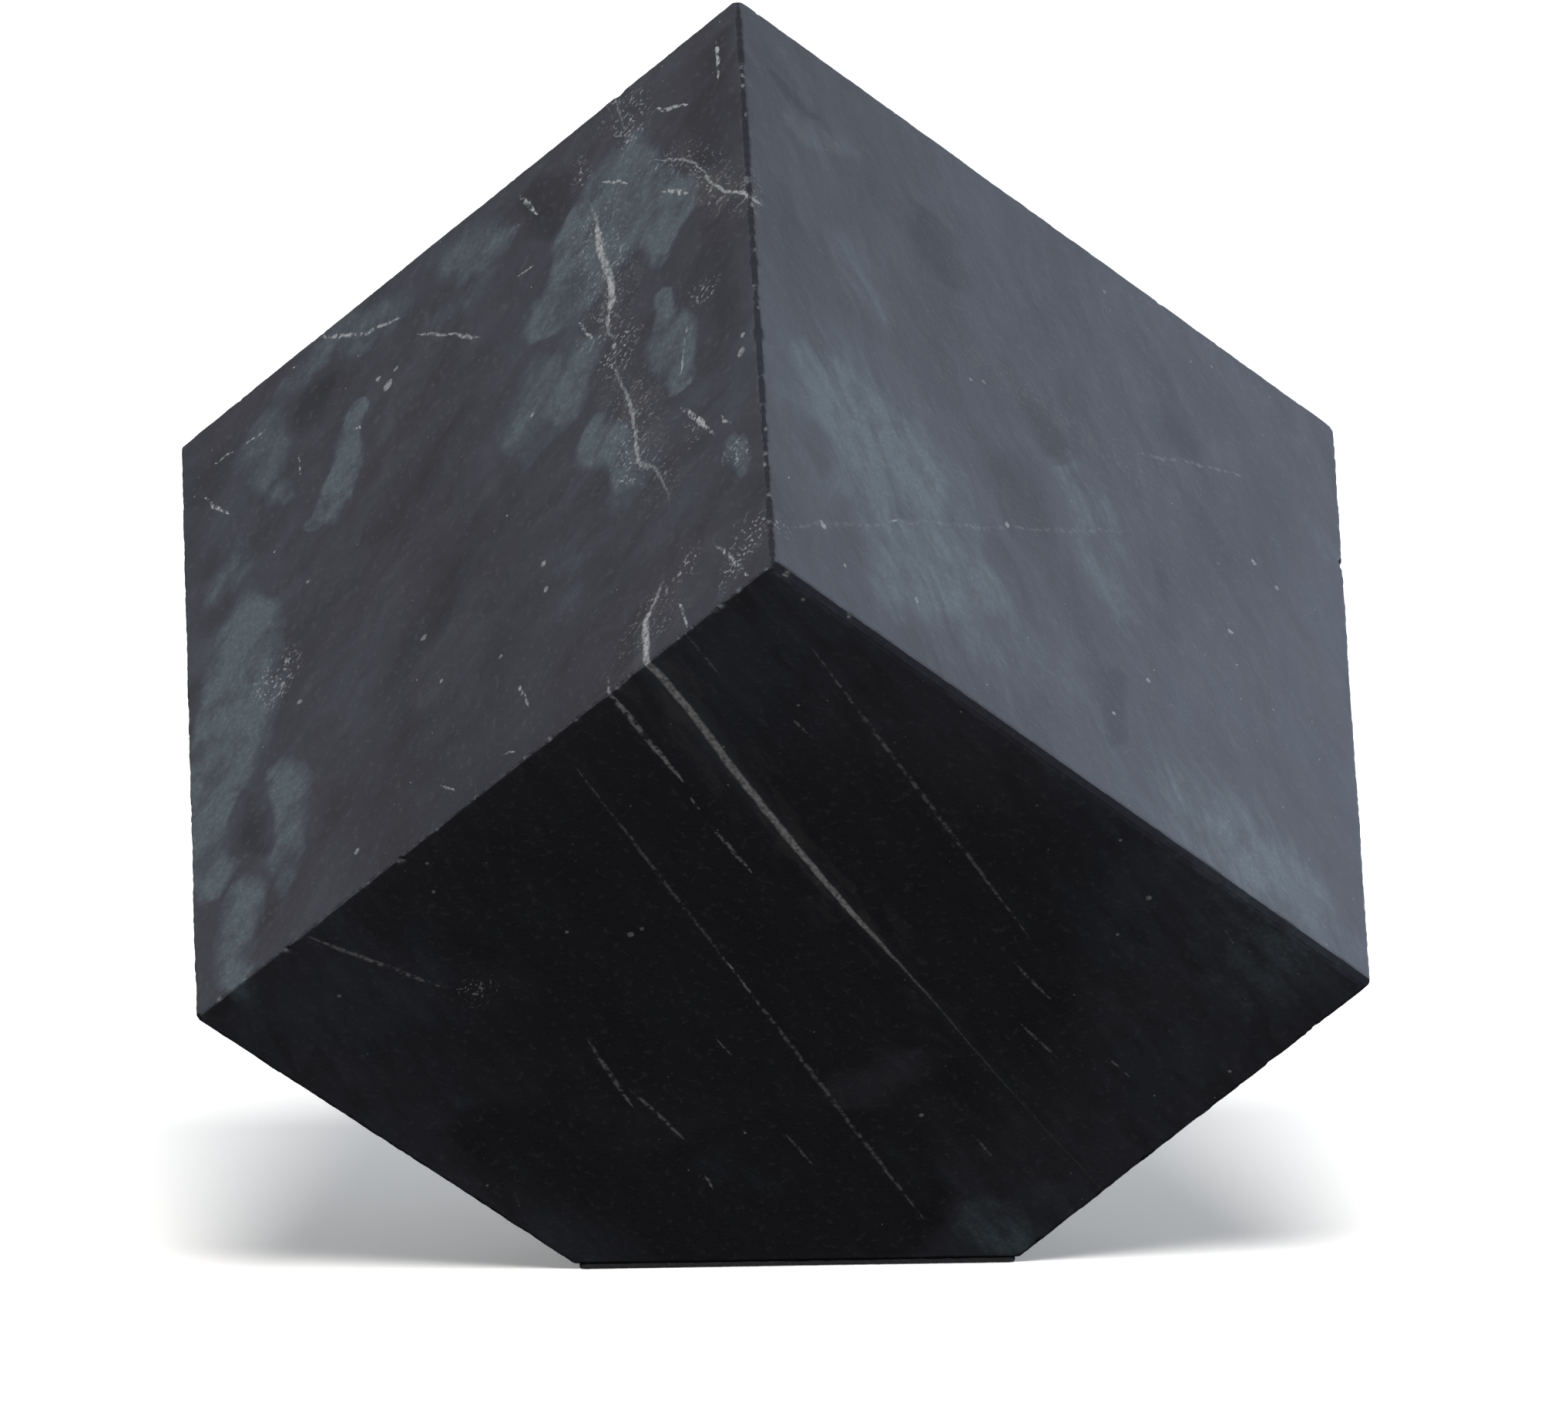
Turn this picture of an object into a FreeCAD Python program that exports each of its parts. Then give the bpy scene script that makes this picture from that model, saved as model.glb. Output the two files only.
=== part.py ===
import FreeCAD, Part
import os

import Sketcher

# A solid cube of black marble that stands on a sawn-off corner, with a thin felt pad stuck under it.
#
# Row frame: +Z up, the pad's underside at Z = 0, the front side of the base along X, and the origin
# straight above the missing corner.
# The block also has axes of its own. Their origin is the missing corner, and they run along the three
# edges that would meet there: X to the left corner, Y to the right corner and Z to the back corner.

NODE_BLOCK = "marble_block"
NODE_FILM = "adhesive_film"
NODE_FELT = "felt_pad"

# Driving dimensions in millimetres.
DIMENSIONS = [
    ("edge_left", 102.5, "edge from the missing corner to the left corner"),
    ("edge_right", 100.0, "edge from the missing corner to the right corner"),
    ("edge_back", 103.0, "edge from the missing corner to the back corner"),
    ("setback_left", 40.5, "stone taken off the left edge by the base cut"),
    ("setback_right", 38.0, "stone taken off the right edge by the base cut"),
    ("setback_back", 39.5, "stone taken off the back edge by the base cut"),
    ("arris", 0.7, "bevel rubbed along every edge of the stone, measured on each face"),
    ("felt_thickness", 0.6, "black felt, under the film"),
    ("film_thickness", 0.1, "double-sided adhesive film, between stone and felt"),
    ("pad_margin", 0.3, "bare level stone between the pad and the bevel round the base"),
    ("pad_corner", 2.5, "radius of the pad's corners"),
]

SHEET = "Dimensions"

# Working forms of the dimensions, as expressions.
LEFT, RIGHT, BACK = (f"{SHEET}.setback_{side}" for side in ("left", "right", "back"))
# Length of the base's front side, and where the missing corner falls along it.
FRONT_SIDE = f"sqrt({LEFT}^2 + {RIGHT}^2)"
FRONT_LEFT_X = f"{LEFT}^2 / {FRONT_SIDE}"
FRONT_RIGHT_X = f"{RIGHT}^2 / {FRONT_SIDE}"
# Distances from the missing corner to the base plane, and to the base's front side.
CORNER_DEPTH = f"1 / sqrt(1 / {LEFT}^2 + 1 / {RIGHT}^2 + 1 / {BACK}^2)"
CORNER_TO_FRONT = f"{LEFT} * {RIGHT} / {FRONT_SIDE}"
FRONT_Y = f"sqrt(({CORNER_TO_FRONT})^2 - ({CORNER_DEPTH})^2)"
BACK_Y = f"sqrt({BACK}^2 - ({CORNER_DEPTH})^2)"
PAD_TOP = f"({SHEET}.felt_thickness + {SHEET}.film_thickness)"

# The Sketcher's numbers for its own geometry. The sketch's origin is the start of its X axis.
X_AXIS, Y_AXIS = -1, -2
START, END, CENTRE = 1, 2, 3

# Rough corners that the pad's sketches are drawn with, before their dimensions pull them into place.
ROUGH_TRIANGLE = [FreeCAD.Vector(-25, -15, 0), FreeCAD.Vector(25, -15, 0), FreeCAD.Vector(0, 30, 0)]
ROUGH_SHRINK = 0.9
# A unit direction whose Z is above this runs straight up.
ALMOST_ONE = 0.99


def make_sheet(doc):
    sheet = doc.addObject("Spreadsheet::Sheet", SHEET)
    for row, (alias, value, meaning) in enumerate(DIMENSIONS, start=1):
        sheet.set(f"A{row}", alias)
        sheet.set(f"B{row}", str(value))
        sheet.setAlias(f"B{row}", alias)
        sheet.set(f"C{row}", meaning)
    doc.recompute()
    return sheet


def origin_plane(body, role):
    return next(f for f in body.Origin.OriginFeatures if f.Role == role)


def new_sketch(body, name, role):
    """A sketch on one of the body's own origin planes."""
    sketch = body.newObject("Sketcher::SketchObject", name)
    sketch.AttachmentSupport = [(origin_plane(body, role), "")]
    sketch.MapMode = "FlatFace"
    return sketch


def bind(sketch, name, constraint, expression):
    """Adds a constraint and drives it from the sheet."""
    index = sketch.addConstraint(constraint)
    sketch.renameConstraint(index, name)
    sketch.setExpression(f"Constraints.{name}", expression)


def add_outline(sketch, corners, construction=False):
    """Closed outline of straight lines. Returns the number of its first line."""
    first = sketch.GeometryCount
    for corner, following in zip(corners, corners[1:] + corners[:1]):
        sketch.addGeometry(Part.LineSegment(corner, following), construction)
    count = len(corners)
    for i in range(count):
        sketch.addConstraint(
            Sketcher.Constraint("Coincident", first + i, END, first + (i + 1) % count, START)
        )
    return first


def add_rectangle(sketch, width, height):
    """Rectangle from the sketch's origin, width along X and height along Y, as sheet aliases."""
    corners = [(0, 0), (1, 0), (1, 1), (0, 1)]
    first = add_outline(sketch, [FreeCAD.Vector(x, y, 0) for x, y in corners])
    for line, direction in enumerate(("Horizontal", "Vertical", "Horizontal", "Vertical")):
        sketch.addConstraint(Sketcher.Constraint(direction, first + line))
    sketch.addConstraint(Sketcher.Constraint("Coincident", first, START, X_AXIS, START))
    bottom, side = first, first + 1
    bind(sketch, "width", Sketcher.Constraint("DistanceX", bottom, START, bottom, END, 1.0), width)
    bind(sketch, "height", Sketcher.Constraint("DistanceY", side, START, side, END, 1.0), height)


def add_mark(sketch, name, along, expression):
    """A point on the sketch's X or Y axis, at a driven distance from the origin."""
    place = FreeCAD.Vector(1, 0, 0) if along == "X" else FreeCAD.Vector(0, 1, 0)
    axis = X_AXIS if along == "X" else Y_AXIS
    point = sketch.addGeometry(Part.Point(place))
    sketch.addConstraint(Sketcher.Constraint("PointOnObject", point, START, axis))
    distance = Sketcher.Constraint(f"Distance{along}", X_AXIS, START, point, START, 1.0)
    bind(sketch, name, distance, expression)


def make_block(doc):
    """The stone: a sawn cuboid, the base cut across one corner, and a bevel on every edge."""
    body = doc.addObject("PartDesign::Body", NODE_BLOCK)
    body.Label = NODE_BLOCK

    footprint = new_sketch(body, "sawn_face", "XY_Plane")
    add_rectangle(footprint, f"{SHEET}.edge_left", f"{SHEET}.edge_right")
    cuboid = body.newObject("PartDesign::Pad", "cuboid")
    cuboid.Profile = footprint
    cuboid.setExpression("Length", f"{SHEET}.edge_back")

    # The base cut passes through one mark on each of the three edges.
    flat_marks = new_sketch(body, "marks_left_right", "XY_Plane")
    add_mark(flat_marks, "left", "X", LEFT)
    add_mark(flat_marks, "right", "Y", RIGHT)
    upright_mark = new_sketch(body, "mark_back", "XZ_Plane")
    add_mark(upright_mark, "back", "Y", BACK)
    doc.recompute()

    saw_line = body.newObject("Sketcher::SketchObject", "saw_line")
    saw_line.AttachmentSupport = [
        (flat_marks, "Vertex1"),
        (flat_marks, "Vertex2"),
        (upright_mark, "Vertex1"),
    ]
    saw_line.MapMode = "ThreePointsPlane"
    # A disc round the first mark that reaches past the other two.
    saw_line.addGeometry(Part.Circle(FreeCAD.Vector(0, 0, 0), FreeCAD.Vector(0, 0, 1), 1.0))
    saw_line.addConstraint(Sketcher.Constraint("Coincident", 0, CENTRE, X_AXIS, START))
    bind(saw_line, "reach", Sketcher.Constraint("Radius", 0, 1.0), f"{LEFT} + {RIGHT} + {BACK}")
    doc.recompute()

    base_cut = body.newObject("PartDesign::Pocket", "base_cut")
    base_cut.Profile = saw_line
    base_cut.Type = "ThroughAll"
    # The sketch's normal points one way or the other out of its three marks. The stone that is taken
    # away is on the side of the missing corner.
    normal = saw_line.Placement.Rotation.multVec(FreeCAD.Vector(0, 0, 1))
    cuts_towards_corner = normal.dot(saw_line.Placement.Base) > 0
    base_cut.Reversed = not cuts_towards_corner
    doc.recompute()

    bevel = body.newObject("PartDesign::Chamfer", "bevel")
    bevel.Base = (base_cut, ["Face1"])
    bevel.UseAllEdges = True
    bevel.setExpression("Size", f"{SHEET}.arris")
    body.Tip = bevel

    # The block turns about its own Z until the base's front side lies along X, then tips about X
    # until the base is level, and is lifted onto the pad.
    heading = f"atan2({RIGHT}; -{LEFT})"
    tip = f"acos({CORNER_DEPTH} / {BACK})"
    lift = f"{PAD_TOP} - {CORNER_DEPTH}"
    body.setExpression(
        "Placement",
        f"placement(vector(0; 0; {lift}); "
        f"rotation(vector(1; 0; 0); -({tip})) * rotation(vector(0; 0; 1); -({heading})))",
    )
    doc.recompute()
    return body


def make_layer(doc, node, thickness, height):
    """One layer of the die-cut pad: a triangle that follows the base cut, with rounded corners."""
    body = doc.addObject("PartDesign::Body", node)
    body.Label = node
    body.setExpression("Placement.Base.z", height)

    outline = new_sketch(body, f"{node}_outline", "XY_Plane")
    # The outline of the base cut, as construction lines: its front, right and left sides.
    front = add_outline(outline, ROUGH_TRIANGLE, construction=True)
    left_side = front + 2
    outline.addConstraint(Sketcher.Constraint("Horizontal", front))
    outline.addConstraint(Sketcher.Constraint("PointOnObject", left_side, START, Y_AXIS))
    to_left = Sketcher.Constraint("DistanceX", front, START, X_AXIS, START, 1.0)
    bind(outline, "cut_left", to_left, FRONT_LEFT_X)
    to_right = Sketcher.Constraint("DistanceX", X_AXIS, START, front, END, 1.0)
    bind(outline, "cut_right", to_right, FRONT_RIGHT_X)
    to_front = Sketcher.Constraint("DistanceY", front, START, X_AXIS, START, 1.0)
    bind(outline, "cut_front", to_front, FRONT_Y)
    to_back = Sketcher.Constraint("DistanceY", X_AXIS, START, left_side, START, 1.0)
    bind(outline, "cut_back", to_back, BACK_Y)

    # The pad's own sides run parallel to it, inside the bevel.
    shrunk = [corner * ROUGH_SHRINK for corner in ROUGH_TRIANGLE]
    pad_front = add_outline(outline, shrunk)
    for side, name in enumerate(("front", "right", "left")):
        cut_side, pad_side = front + side, pad_front + side
        outline.addConstraint(Sketcher.Constraint("Parallel", cut_side, pad_side))
        gap = Sketcher.Constraint("Distance", pad_side, START, cut_side, 1.0)
        bind(outline, f"inset_{name}", gap, f"{SHEET}.arris + {SHEET}.pad_margin")
    doc.recompute()

    layer = body.newObject("PartDesign::Pad", f"{node}_layer")
    layer.Profile = outline
    layer.setExpression("Length", thickness)
    doc.recompute()

    upright = [
        f"Edge{number}"
        for number, edge in enumerate(layer.Shape.Edges, start=1)
        if abs(edge.tangentAt(edge.FirstParameter).z) > ALMOST_ONE
    ]
    corners = body.newObject("PartDesign::Fillet", f"{node}_corners")
    corners.Base = (layer, upright)
    corners.setExpression("Radius", f"{SHEET}.pad_corner")
    body.Tip = corners
    doc.recompute()
    return body


def check(doc, bodies):
    """Stops before anything is written if a feature failed or a piece isn't one sound solid."""
    for feature in doc.Objects:
        if {"Invalid", "Error"} & set(feature.State):
            raise RuntimeError(f"{feature.Name} failed: {feature.State}")
    for body in bodies:
        shape = body.Shape
        if shape.isNull() or not shape.isValid() or len(shape.Solids) != 1:
            raise RuntimeError(f"{body.Label} isn't one valid solid")


def main():
    doc = FreeCAD.newDocument("cube_on_point")
    sheet = make_sheet(doc)
    bodies = [
        make_block(doc),
        make_layer(doc, NODE_FILM, f"{SHEET}.film_thickness", f"{SHEET}.felt_thickness"),
        make_layer(doc, NODE_FELT, f"{SHEET}.felt_thickness", "0"),
    ]
    doc.recompute()
    check(doc, bodies)

    # The base cut takes away a pyramid, a sixth of the box of its three setbacks.
    cuboid = sheet.edge_left * sheet.edge_right * sheet.edge_back
    pyramid = sheet.setback_left * sheet.setback_right * sheet.setback_back / 6
    block = bodies[0].Shape
    print(f"stone {block.Volume:.0f} mm3, and {cuboid - pyramid:.0f} before its edges are bevelled")
    print(f"the stone reaches from {block.BoundBox.ZMin:.2f} to {block.BoundBox.ZMax:.2f} mm up")

    os.makedirs("parts", exist_ok=True)
    for body in bodies:
        box = body.Shape.BoundBox
        print(f"{body.Label}: {box.XLength:.2f} x {box.YLength:.2f} x {box.ZLength:.2f} mm")
        body.Shape.exportStep(f"parts/{body.Label}.step")


main()
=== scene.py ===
# %% [markdown]
# # A black marble cube that stands on a cut corner
#
# The object is one block of honed black marble with white calcite veins. One corner is sawn off level, and
# the cube stands on that cut, with a thin felt pad under it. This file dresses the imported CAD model: it reads
# the model's own planes and boxes, makes a worn stone from them, and gives every piece its finish.
# Everything is in metres in the CAD model's frame; the block's own measures are written in millimetres.

import math

import bpy
import numpy as np
from mathutils import Matrix, Vector
from mathutils.geometry import delaunay_2d_cdt


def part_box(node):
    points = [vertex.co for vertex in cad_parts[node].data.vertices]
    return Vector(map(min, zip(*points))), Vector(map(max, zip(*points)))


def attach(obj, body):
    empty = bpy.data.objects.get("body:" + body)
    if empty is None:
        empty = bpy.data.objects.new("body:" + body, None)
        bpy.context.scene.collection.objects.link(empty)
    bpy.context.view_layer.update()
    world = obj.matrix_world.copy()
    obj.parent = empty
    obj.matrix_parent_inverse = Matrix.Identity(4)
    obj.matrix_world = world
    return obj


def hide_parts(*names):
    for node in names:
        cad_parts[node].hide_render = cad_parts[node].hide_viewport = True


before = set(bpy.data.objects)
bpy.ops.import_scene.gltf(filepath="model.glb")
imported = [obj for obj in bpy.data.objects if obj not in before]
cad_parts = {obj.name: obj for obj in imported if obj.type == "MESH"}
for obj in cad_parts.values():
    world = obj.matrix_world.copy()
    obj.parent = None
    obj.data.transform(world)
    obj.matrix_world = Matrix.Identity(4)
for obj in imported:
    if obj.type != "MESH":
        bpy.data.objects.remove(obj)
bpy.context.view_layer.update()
MM = 0.001
scene = bpy.context.scene
scene.view_settings.view_transform = "Standard"

# %% [markdown]
# ## Camera
#
# The stone is seen from almost straight ahead, a little above table height and from far away, so its edges
# stay nearly parallel. A long lens three metres off gives that. The camera leans by half a degree, as a hand
# held or badly levelled one does.

# %% Aim the camera
LENS = 587.8
AZIMUTH = math.radians(2.382)
ELEVATION = math.radians(7.32)
LEAN = math.radians(-0.602)
STAND_OFF = 3.1449
STEP_RIGHT = -0.00154
STEP_UP = -0.00713
aim = Vector((0, 0, 0.075))
ahead = Vector(
    (
        math.sin(AZIMUTH) * math.cos(ELEVATION),
        math.cos(AZIMUTH) * math.cos(ELEVATION),
        -math.sin(ELEVATION),
    )
)
level_right = Vector((math.cos(AZIMUTH), -math.sin(AZIMUTH), 0))
level_up = level_right.cross(ahead)
eye = aim - ahead * STAND_OFF + level_right * STEP_RIGHT + level_up * STEP_UP
cam_right = level_right * math.cos(LEAN) + level_up * math.sin(LEAN)
cam_up = level_up * math.cos(LEAN) - level_right * math.sin(LEAN)
turn = Matrix((cam_right, cam_up, -ahead)).transposed()
camera = bpy.data.objects.new("camera", bpy.data.cameras.new("camera"))
camera.matrix_world = Matrix.Translation(eye) @ turn.to_4x4()
camera.data.lens = LENS
camera.data.sensor_width = 36
camera.data.clip_start = 0.05
camera.data.clip_end = 30
scene.collection.objects.link(camera)
scene.camera = camera
print("camera at", [round(v, 3) for v in eye])

# %% [markdown]
# ## Shader maths in plain Python
#
# A stone finish is mostly arithmetic: distances to veins, masks and blends. Building that by hand, node by
# node, hides the idea. So one small class wraps a socket, and the ordinary operators add the Math nodes.
# Colours and vectors have their own nodes, because a Math node would turn them grey. Every other node is
# made by `Finish.add`, which sets a node's settings first and then its sockets.


# %% A socket that does arithmetic
def operator(name, reflected=False):
    """A method that adds one Math node; a reflected one takes its two sides the other way round."""

    def apply(self, other):
        sides = (other, self) if reflected else (self, other)
        return self.finish.math(name, *sides)

    return apply


class Signal:
    def __init__(self, finish, socket):
        self.finish = finish
        self.socket = socket

    __add__ = operator("ADD")
    __radd__ = operator("ADD", reflected=True)
    __sub__ = operator("SUBTRACT")
    __rsub__ = operator("SUBTRACT", reflected=True)
    __mul__ = operator("MULTIPLY")
    __rmul__ = operator("MULTIPLY", reflected=True)
    __truediv__ = operator("DIVIDE")
    at_most = operator("MINIMUM")
    at_least = operator("MAXIMUM")

    def __abs__(self):
        return self.finish.math("ABSOLUTE", self)

    def kept_in_range(self):
        return self.at_least(0).at_most(1)

    def ramp(self, start, end, low=0, high=1, shape="SMOOTHSTEP"):
        """low where the signal is at start, high where it is at end, with a soft S between."""
        settings = {"interpolation_type": shape, "clamp": True}
        sockets = {"Value": self, "From Min": start, "From Max": end, "To Min": low, "To Max": high}
        return self.finish.add("ShaderNodeMapRange", settings, sockets)


# %% A finish is a material or world with one way to add nodes
class Finish:
    def __init__(self, owner):
        owner.use_nodes = True
        self.owner = owner
        self.tree = owner.node_tree
        self.tree.nodes.clear()

    def add(self, kind, settings=None, sockets=None, out=0):
        made = self.tree.nodes.new(kind)
        for name, value in (settings or {}).items():
            if name == "points":
                self.set_points(made.mapping, value)
            else:
                setattr(made, name, value)
        for name, value in (sockets or {}).items():
            if isinstance(value, Signal):
                self.tree.links.new(value.socket, made.inputs[name])
            else:
                made.inputs[name].default_value = value
        return Signal(self, made.outputs[out]) if len(made.outputs) else None

    def set_points(self, mapping, points):
        curve = mapping.curves[0]
        mapping.extend = "HORIZONTAL"
        for position, height in points[1:-1]:
            curve.points.new(position, height)
        curve.points[0].location = points[0]
        curve.points[-1].location = points[-1]
        mapping.update()

    def noise(self, place, size, detail=2, roughness=0.5, out=0, distortion=0):
        """Noise whose lumps are about `size` across, in the units of `place`."""
        sockets = {
            "Vector": place,
            "Scale": 1 / size,
            "Detail": detail,
            "Roughness": roughness,
            "Distortion": distortion,
        }
        return self.add("ShaderNodeTexNoise", {}, sockets, out)

    def math(self, operation, *operands):
        return self.add("ShaderNodeMath", {"operation": operation}, dict(enumerate(operands)))

    def vector(self, operation, *operands, out=0):
        return self.add("ShaderNodeVectorMath", {"operation": operation}, dict(enumerate(operands)), out)

    def stretched(self, place, by, shift=(0, 0, 0)):
        return self.vector("MULTIPLY_ADD", place, by, shift)

    def parts(self, place):
        """The X, Y and Z of a place."""
        first = self.add("ShaderNodeSeparateXYZ", {}, {"Vector": place}, out="X")
        return [Signal(self, first.socket.node.outputs[part]) for part in "XYZ"]

    def mix(self, factor, under, over):
        settings = {"data_type": "RGBA"}
        return self.add("ShaderNodeMix", settings, {0: factor, 6: under, 7: over}, out=2)

    def close(self, fixed, varying, height=None, depth=0.0):
        """Ends the material in one Principled shader; `height` in metres goes through a Bump node."""
        sockets = {**fixed, **varying}
        if height is not None:
            bump = {"Strength": 1.0, "Distance": depth, "Height": height}
            sockets["Normal"] = self.add("ShaderNodeBump", {}, bump)
        shader = self.add("ShaderNodeBsdfPrincipled", {}, sockets)
        self.add("ShaderNodeOutputMaterial", {}, {"Surface": shader})
        print(self.owner.name, "has", len(self.tree.nodes), "nodes")
        return self.owner


print("ready to make finishes with", Signal.__name__, "and", Finish.__name__)

# %% [markdown]
# ## Table and lights
#
# The block stands on a white acrylic table that glows a little from below, as product tables do, so the
# ground stays pale and the shadow at the base stays soft. The table is a wide dish that turns up at its rim,
# which gives a seamless ground from every side. It is shown to the camera only: a honed black stone on a
# real white sheet would pick up a pale underside, and this one is dark underneath.

# %% Pour the table
TABLE_FLAT = 5.8
TABLE_RIM = 1.6
TABLE_DROP = 0.00006
WALL_TOP = 5.0
RIM_STEPS = 16
profile = [(0.0, 0.0), (0.5, 0.0), (2.0, 0.0), (TABLE_FLAT, 0.0)]
for step in range(1, RIM_STEPS + 1):
    angle = math.radians(90 * step / RIM_STEPS)
    profile.append((TABLE_FLAT + TABLE_RIM * math.sin(angle), TABLE_RIM * (1 - math.cos(angle))))
profile.append((TABLE_FLAT + TABLE_RIM, WALL_TOP))
SPOKES = 96
table_points = []
for radius, height in profile:
    for spoke in range(SPOKES):
        angle = 2 * math.pi * spoke / SPOKES
        table_points.append((radius * math.cos(angle), radius * math.sin(angle), height - TABLE_DROP))
table_faces = []
for ring in range(len(profile) - 1):
    for spoke in range(SPOKES):
        after = (spoke + 1) % SPOKES
        a = ring * SPOKES + spoke
        b = ring * SPOKES + after
        table_faces.append((a, a + SPOKES, b + SPOKES, b))
table_mesh = bpy.data.meshes.new("table")
table_mesh.from_pydata(table_points, [], table_faces)
table = bpy.data.objects.new("table", table_mesh)
scene.collection.objects.link(table)
table.visible_diffuse = False
table.visible_glossy = False
table.visible_transmission = False

acrylic = Finish(bpy.data.materials.new("white_acrylic"))
table_mesh.materials.append(
    acrylic.close(
        {
            "Base Color": (0.95, 0.93, 0.885, 1),
            "Roughness": 0.9,
            "Specular IOR Level": 0.0,
            "Emission Color": (1, 1, 1, 1),
            "Emission Strength": 0.16,
        },
        {},
    )
)
print("table", 2 * (TABLE_FLAT + TABLE_RIM), "m across")

# %% Light the room
world = bpy.data.worlds.new("studio")
scene.world = world
room = Finish(world)
upwards = room.parts(room.add("ShaderNodeTexCoord", {}, {}, out="Generated"))[2]
lift = upwards.ramp(0.0, 0.5, 0.015, 0.27)
backdrop = room.add("ShaderNodeBackground", {}, {"Color": (0.92, 0.97, 1.07, 1), "Strength": lift})
room.add("ShaderNodeOutputWorld", {}, {"Surface": backdrop})


def add_lamp(kind, name, towards, energy, colour):
    """A lamp that shines on the block from the direction `towards`."""
    lamp = bpy.data.lights.new(name, kind)
    lamp.energy = energy
    lamp.color = colour
    holder = bpy.data.objects.new(name, lamp)
    holder.rotation_mode = "QUATERNION"
    holder.rotation_quaternion = Vector(towards).to_track_quat("Z", "Y")
    scene.collection.objects.link(holder)
    return holder


# Direction, strength, width in degrees and colour. The two suns stand for big soft boxes, so they light the
# stone but leave no hot reflection on it.
SUNS = {
    "key": ((0.01, -0.74, 0.67), 5.2, 28, (0.99, 0.985, 1.0)),
    "fill": ((0.0, 0.90, 0.42), 1.6, 40, (0.97, 0.985, 1.0)),
}
for name, (towards, strength, spread, colour) in SUNS.items():
    sun = add_lamp("SUN", name, towards, strength, colour)
    sun.data.angle = math.radians(spread)
    sun.visible_glossy = False
# A low panel behind and to the right, whose reflection lifts the right face.
SHEEN_TOWARDS = Vector((0.61, 0.69, 0.16))
SHEEN_DISTANCE = 0.78
sheen = add_lamp("AREA", "sheen", SHEEN_TOWARDS, 1.7, (0.72, 0.88, 1.14))
sheen.data.shape = "RECTANGLE"
sheen.data.size = 0.85
sheen.data.size_y = 0.42
sheen.location = Vector((0, 0, 0.08)) + SHEEN_TOWARDS.normalized() * SHEEN_DISTANCE
sheen.visible_camera = False
print(len(SUNS), "suns and a panel")

# %% [markdown]
# ## The block as it was sawn
#
# The CAD node gives the seven flat sides exactly. They are read from its mesh: triangles with the same
# direction are added up, and the seven largest groups are the six sawn faces and the level cut. A stone saw
# never cuts quite true, so each face gets a small shift and drift of its own, under a millimetre.

# %% Read the seven planes
def unit(way):
    return way / np.linalg.norm(way)


cad_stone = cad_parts["marble_block"]
count = len(cad_stone.data.polygons)
facing = np.empty(count * 3)
middle = np.empty(count * 3)
area = np.empty(count)
cad_stone.data.polygons.foreach_get("normal", facing)
cad_stone.data.polygons.foreach_get("center", middle)
cad_stone.data.polygons.foreach_get("area", area)
facing = facing.reshape(-1, 3)
middle = middle.reshape(-1, 3) / MM
groups = {}
for index in range(count):
    key = tuple(np.round(facing[index], 2) + 0.0)
    groups.setdefault(key, []).append(index)
largest = sorted(groups.values(), key=lambda members: -area[members].sum())[:7]
sides = []
for members in largest:
    weight = area[members] / area[members].sum()
    normal = unit((facing[members] * weight[:, None]).sum(axis=0))
    sides.append((normal, float((middle[members] @ normal * weight).sum())))
level_cut = min(sides, key=lambda side: side[0][2])
sawn = [side for side in sides if side is not level_cut]
left = min(sawn, key=lambda side: side[0][0] - side[0][2] * 0.5)
right = max(sawn, key=lambda side: side[0][0] + side[0][2] * 0.5)
back = max(sawn, key=lambda side: side[0][1] + side[0][2] * 0.5)
axes = np.array([left[0], right[0], back[0]])
far = np.array([left[1], right[1], back[1]])
near = np.array([-min(sawn, key=lambda s: s[0] @ axis)[1] for axis in axes])
edge = far - near
tip = np.linalg.solve(axes, near)
print("edges", np.round(edge, 2), "mm, missing corner at", np.round(tip, 2))

# %% Let each face be a little out of true
# Rows: shift outwards, then drift along the next two block axes at the face's edge, all in mm.
OUT_OF_TRUE = {
    (0, 1): (0.06, 0.03, -0.14),
    (0, 0): (0.96, -0.37, 0.88),
    (1, 1): (-0.14, -0.04, -0.33),
    (1, 0): (-0.79, -0.60, 0.89),
    (2, 1): (-0.11, -0.24, 0.14),
    (2, 0): (0.04, -0.08, 0.23),
}
HALF_FACE = 50
planes = []
for (axis, side), (shift, drift_a, drift_b) in OUT_OF_TRUE.items():
    tilt = np.zeros(3)
    tilt[axis] = 1
    tilt[(axis + 1) % 3] = drift_a / HALF_FACE
    tilt[(axis + 2) % 3] = drift_b / HALF_FACE
    centre = edge / 2
    centre[axis] = edge[axis] + shift if side else -shift
    sign = 1 if side else -1
    normal = unit(sign * tilt @ axes)
    planes.append((normal, float(normal @ (tip + centre @ axes))))
planes.append(level_cut)
PLANE_NAMES = ["left", "rear_right", "right", "rear_left", "top", "under", "cut"]
print(len(planes), "planes;", "cut at z", round(-level_cut[1], 3), "mm")

# %% [markdown]
# ## Meshing the stone
#
# A box with a bevel modifier has edges that are too perfect for stone. The worn stone needs fine triangles
# along its edges and few in the middle of a face, so each face is filled with rings of points that start
# close together at the rim and spread out inwards, and a Delaunay triangulation joins them. Neighbouring
# faces share the points on their common edge, so the block is one closed skin.

# %% Clip each face to its outline
def sides_of(loop):
    """Every point of a closed line with the one after it."""
    return zip(loop, loop[1:] + loop[:1])


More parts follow.
